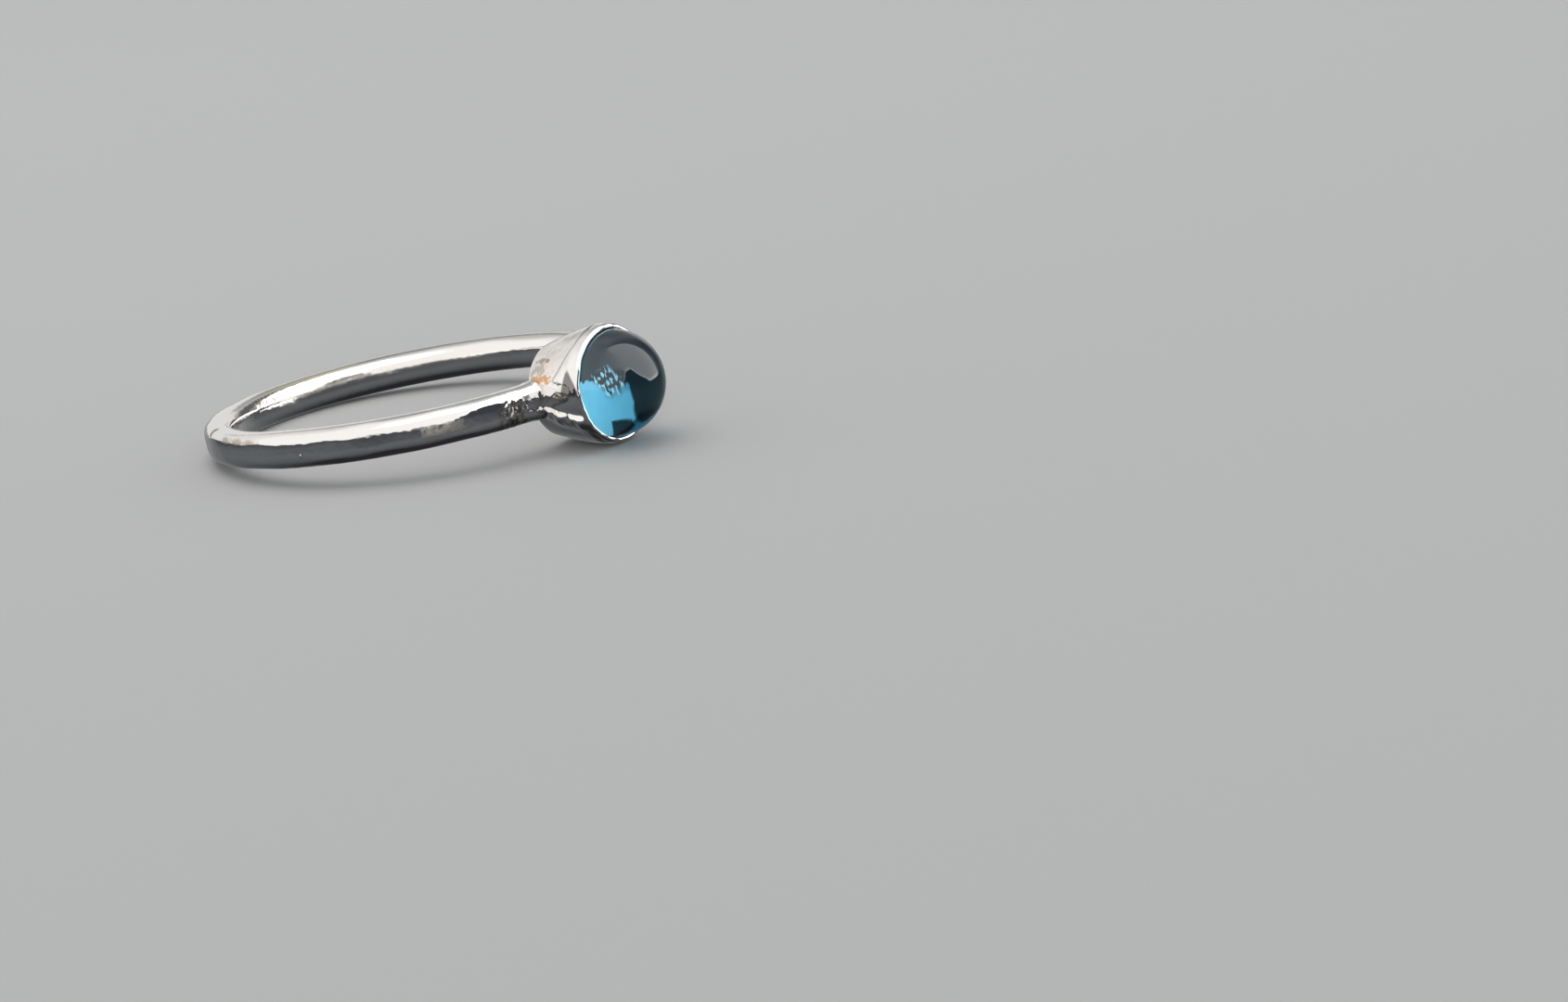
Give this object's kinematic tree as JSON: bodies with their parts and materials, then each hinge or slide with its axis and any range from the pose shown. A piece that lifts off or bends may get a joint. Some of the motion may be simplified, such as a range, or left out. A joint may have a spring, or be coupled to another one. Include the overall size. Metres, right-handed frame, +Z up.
{
  "type": "stackable ring with a round cabochon",
  "caption": "Silver stacking ring for a finger: a lightly hammered wire band soldered to a small tapered bezel cup that holds a high, round, clear blue cabochon.",
  "frame": {"origin": "on the surface that the ring lies on, under the middle of its outline", "axes": "+X the way the stone faces, +Z up; the ring lies on its side in its natural rest, tilted 4.8 degrees about Y"},
  "size_m": [0.0246, 0.0202, 0.0056],
  "materials": {
    "silver": "polished silver, lightly hammered",
    "blue_stone": "polished, clear, sky blue"
  },
  "bodies": {
    "root": {"band_with_bezel_cup": "silver", "cabochon": "blue_stone"}
  },
  "joints": []
}
